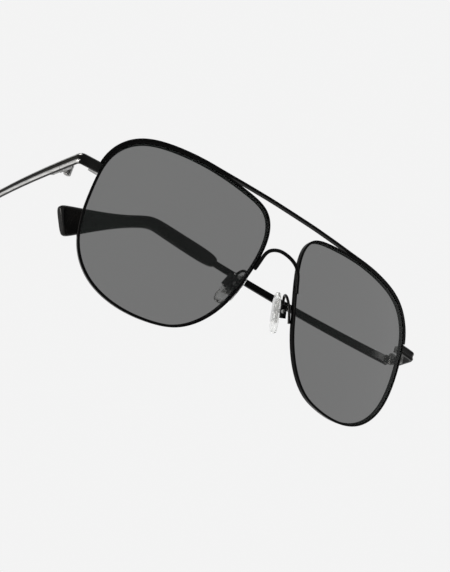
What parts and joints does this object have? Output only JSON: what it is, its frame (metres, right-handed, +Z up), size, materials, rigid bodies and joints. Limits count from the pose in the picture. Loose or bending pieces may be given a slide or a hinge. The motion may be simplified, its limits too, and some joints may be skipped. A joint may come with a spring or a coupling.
{
  "type": "sunglasses",
  "caption": "Metal aviator sunglasses with a straight brow bar, tinted lenses, adjustable nose pads, hinged temples and plastic temple tips",
  "frame": {"origin": "middle of the bounding box in plan, at the level of the surface the glasses stand on", "axes": "+Z up, -Y the way the wearer looks, +X the wearer's left; at rest the right temple is open and the left temple is folded in"},
  "size_m": [0.1508, 0.1552, 0.0554],
  "materials": {
    "black_metal": "gloss black plating on the rims, brow bar and bridge",
    "dark_metal": "dark gunmetal, semi-gloss",
    "bare_metal": "bright bare metal",
    "tinted_lens": "neutral grey tint, polished",
    "clear_pad": "clear soft plastic",
    "black_plastic": "polished black plastic"
  },
  "bodies": {
    "front": {"brow_bar": "black_metal", "bridge_wire": "black_metal", "rim_left": "black_metal", "lens_left": "tinted_lens", "endpiece_left": "dark_metal", "hinge_front_left": "bare_metal", "hinge_screw_left": "bare_metal", "rim_lock_upper_left": "bare_metal", "rim_lock_lower_left": "bare_metal", "rim_lock_screw_left": "bare_metal", "pad_arm_left": "dark_metal", "pad_box_left": "dark_metal", "pad_screw_left": "bare_metal", "rim_right": "black_metal", "lens_right": "tinted_lens", "endpiece_right": "dark_metal", "hinge_front_right": "bare_metal", "hinge_screw_right": "bare_metal", "rim_lock_upper_right": "bare_metal", "rim_lock_lower_right": "bare_metal", "rim_lock_screw_right": "bare_metal", "pad_arm_right": "dark_metal", "pad_box_right": "dark_metal", "pad_screw_right": "bare_metal"},
    "temple_right": {"temple_right": "dark_metal", "temple_tip_right": "black_plastic", "hinge_rear_right": "bare_metal"},
    "temple_left": {"temple_left": "dark_metal", "temple_tip_left": "black_plastic", "hinge_rear_left": "bare_metal"},
    "pad_right": {"nose_pad_right": "clear_pad", "pad_core_right": "bare_metal"},
    "pad_left": {"nose_pad_left": "clear_pad", "pad_core_left": "bare_metal"}
  },
  "joints": [
    {"name": "temple_right_hinge", "type": "hinge", "parent": "front", "child": "temple_right", "pos_m": [-0.06679, -0.05795, 0.03542], "axis": [0, -0.1115, -0.9938], "range_deg": [0, 87.5]},
    {"name": "temple_left_hinge", "type": "hinge", "parent": "front", "child": "temple_left", "pos_m": [0.07221, -0.05795, 0.03542], "axis": [0, 0.1115, 0.9938], "range_deg": [-91.7, 0]},
    {"name": "pad_right_rock", "type": "hinge", "parent": "front", "child": "pad_right", "pos_m": [-0.00813, -0.06879, 0.02582], "axis": [0.3287, -0.9034, -0.2754], "range_deg": [-8, 8]},
    {"name": "pad_left_rock", "type": "hinge", "parent": "front", "child": "pad_left", "pos_m": [0.01355, -0.06879, 0.02582], "axis": [-0.3287, -0.9034, -0.2754], "range_deg": [-8, 8]}
  ]
}
